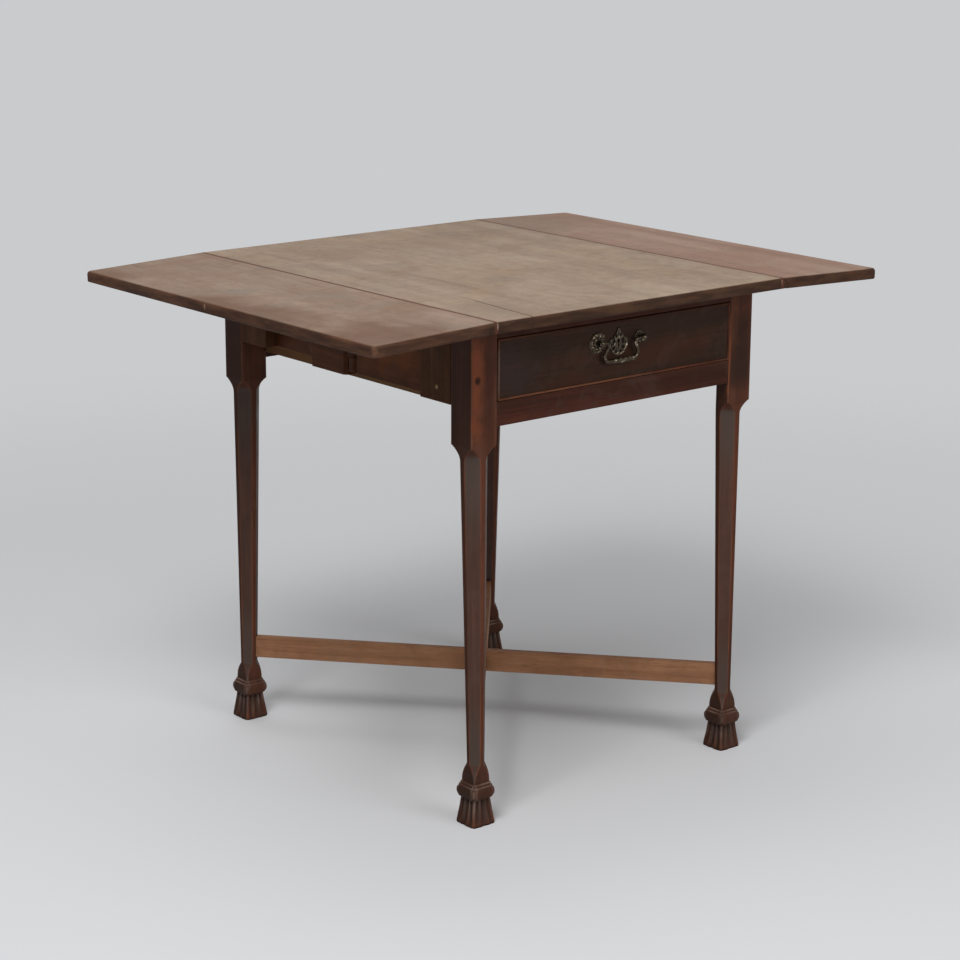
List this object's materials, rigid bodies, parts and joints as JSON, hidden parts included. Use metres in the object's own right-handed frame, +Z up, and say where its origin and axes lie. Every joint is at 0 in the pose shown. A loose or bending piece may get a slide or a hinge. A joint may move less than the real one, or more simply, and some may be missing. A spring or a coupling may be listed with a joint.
{
  "type": "pembroke table",
  "caption": "Drop-leaf occasional table with knuckle-jointed fly brackets, a frieze drawer with a swan-neck bail, tapered chamfered legs on tassel feet and crossed stretchers.",
  "frame": {"origin": "on the floor under the middle of the open top", "axes": "+X across the two leaves, +Y from the drawer to the back, +Z up"},
  "size_m": [0.9144, 0.684, 0.711],
  "materials": {
    "top_wood": "faded polished mahogany",
    "leaf_wood": "faded polished mahogany",
    "base_wood": "dark polished mahogany",
    "stretcher_wood": "worn mahogany",
    "inner_wood": "unpolished secondary wood",
    "iron": "dark wrought iron",
    "brass": "aged, tarnished brass"
  },
  "bodies": {
    "base": {"back_rail": "base_wood", "drawer_rail": "base_wood", "drawer_runner_left": "inner_wood", "drawer_runner_right": "inner_wood", "drawer_stops": "inner_wood", "hinge_fixed_left": "iron", "hinge_fixed_right": "iron", "hinge_fixed_screws_left": "iron", "hinge_fixed_screws_right": "iron", "hinge_pins_left": "iron", "hinge_pins_right": "iron", "kicker_left": "inner_wood", "kicker_right": "inner_wood", "knuckle_board_left": "base_wood", "knuckle_board_right": "base_wood", "knuckle_pin_left": "iron", "knuckle_pin_right": "iron", "leg_back_left": "base_wood", "leg_back_right": "base_wood", "leg_front_left": "base_wood", "leg_front_right": "base_wood", "packing_back_left": "inner_wood", "packing_back_right": "inner_wood", "packing_front_left": "inner_wood", "packing_front_right": "inner_wood", "side_rail_left": "inner_wood", "side_rail_right": "inner_wood", "stretcher_lower": "stretcher_wood", "stretcher_upper": "stretcher_wood", "top_board": "top_wood", "top_rail": "base_wood", "top_screws": "iron"},
    "leaf_left": {"leaf_left": "leaf_wood", "hinge_leaf_left": "iron", "hinge_leaf_screws_left": "iron"},
    "leaf_right": {"leaf_right": "leaf_wood", "hinge_leaf_right": "iron", "hinge_leaf_screws_right": "iron"},
    "fly_bracket_left": {"fly_bracket_left": "base_wood"},
    "fly_bracket_right": {"fly_bracket_right": "base_wood"},
    "drawer": {"drawer_front": "base_wood", "drawer_side_left": "inner_wood", "drawer_side_right": "inner_wood", "drawer_back": "inner_wood", "drawer_bottom": "inner_wood", "lock_case": "iron", "handle_posts": "brass", "handle_nuts": "brass", "handle_rosette_left": "brass", "handle_rosette_right": "brass", "escutcheon": "brass", "cock_beads": "base_wood"},
    "handle_bail": {"handle_bail": "brass"},
    "lock_bolt": {"lock_bolt": "iron"}
  },
  "joints": [
    {"name": "left_leaf_drop", "type": "hinge", "parent": "base", "child": "leaf_left", "pos_m": [-0.261, 0, 0.697], "axis": [0, 1, 0], "range_deg": [-86, 2]},
    {"name": "right_leaf_drop", "type": "hinge", "parent": "base", "child": "leaf_right", "pos_m": [0.261, 0, 0.697], "axis": [0, -1, 0], "range_deg": [-86, 2]},
    {"name": "left_bracket_swing", "type": "hinge", "parent": "base", "child": "fly_bracket_left", "pos_m": [-0.248, -0.023, 0.64], "axis": [0, 0, 1], "range_deg": [0, 90]},
    {"name": "right_bracket_swing", "type": "hinge", "parent": "base", "child": "fly_bracket_right", "pos_m": [0.248, -0.023, 0.64], "axis": [0, 0, -1], "range_deg": [0, 90]},
    {"name": "drawer_slide", "type": "slide", "parent": "base", "child": "drawer", "axis": [0, -1, 0], "range_m": [0, 0.36]},
    {"name": "bail_swing", "type": "hinge", "parent": "drawer", "child": "handle_bail", "pos_m": [0, -0.2965, 0.647], "axis": [-1, 0, 0], "range_deg": [0, 150]},
    {"name": "lock_bolt_throw", "type": "slide", "parent": "drawer", "child": "lock_bolt", "axis": [0, 0, 1], "range_m": [0, 0.007]}
  ]
}
